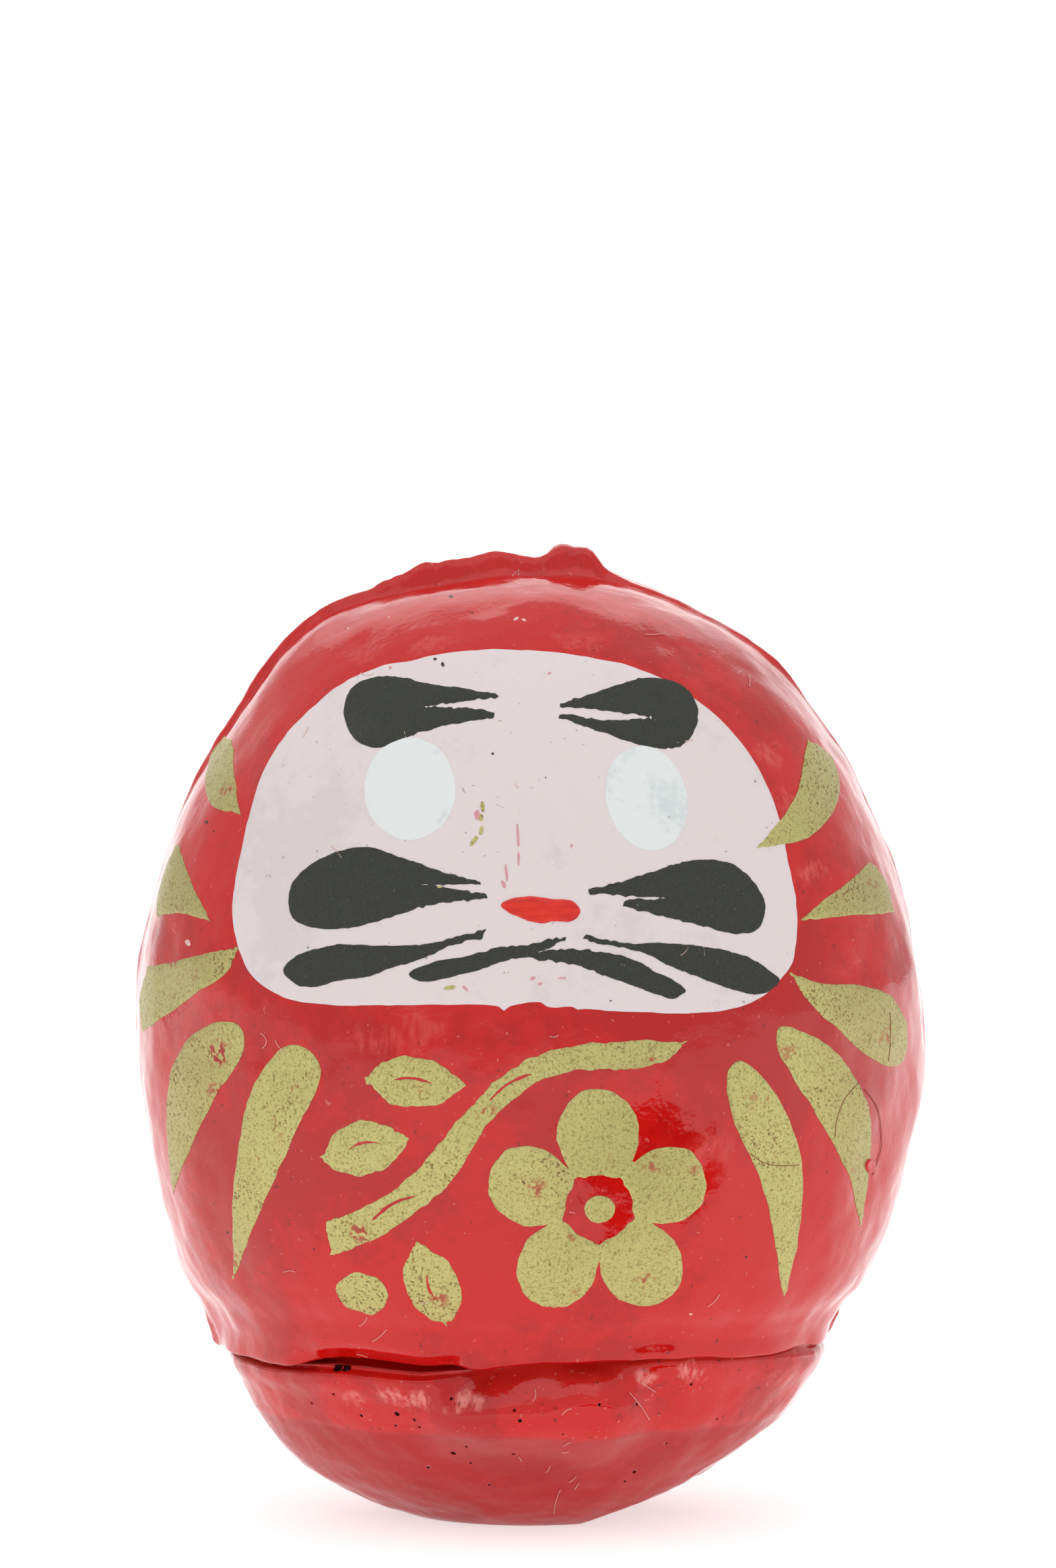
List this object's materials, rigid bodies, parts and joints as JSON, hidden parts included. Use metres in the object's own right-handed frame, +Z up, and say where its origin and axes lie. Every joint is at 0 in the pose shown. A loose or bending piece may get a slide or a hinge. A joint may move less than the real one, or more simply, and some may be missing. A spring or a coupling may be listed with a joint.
{
  "type": "daruma doll",
  "caption": "Egg-shaped tumbler doll: red lacquered paper shell in two halves on a weighted base, with a painted face, gold side stripes and a gold sprig on the belly.",
  "frame": {"origin": "centre of the flat standing face under the base weight", "axes": "+Z up through the crown, -Y the way the face looks, +X to the right as seen from the front"},
  "size_m": [0.0613, 0.0553, 0.075],
  "materials": {
    "red_lacquered_paper": "gloss",
    "red_lacquered_clay": "gloss",
    "face_paint": "satin",
    "eye_paint": "satin",
    "black_ink": "matte",
    "mouth_paint": "gloss",
    "gold_paint": "satin"
  },
  "bodies": {
    "root": {"front_shell": "red_lacquered_paper", "back_shell": "red_lacquered_paper", "base_weight": "red_lacquered_clay", "face_panel": "face_paint", "eye_left": "eye_paint", "eye_right": "eye_paint", "brow_left": "black_ink", "brow_right": "black_ink", "cheek_left": "black_ink", "cheek_right": "black_ink", "whisker_left": "black_ink", "whisker_right": "black_ink", "whisker_centre": "black_ink", "mouth": "mouth_paint", "stripe_left_1": "gold_paint", "stripe_left_2": "gold_paint", "stripe_left_3": "gold_paint", "stripe_left_4": "gold_paint", "stripe_left_5": "gold_paint", "stripe_right_1": "gold_paint", "stripe_right_2": "gold_paint", "stripe_right_3": "gold_paint", "stripe_right_4": "gold_paint", "stripe_right_5": "gold_paint", "emblem_blossom": "gold_paint", "emblem_bough": "gold_paint", "emblem_leaf_upper": "gold_paint", "emblem_leaf_middle": "gold_paint", "emblem_leaf_lower": "gold_paint", "emblem_bud": "gold_paint"}
  },
  "joints": []
}
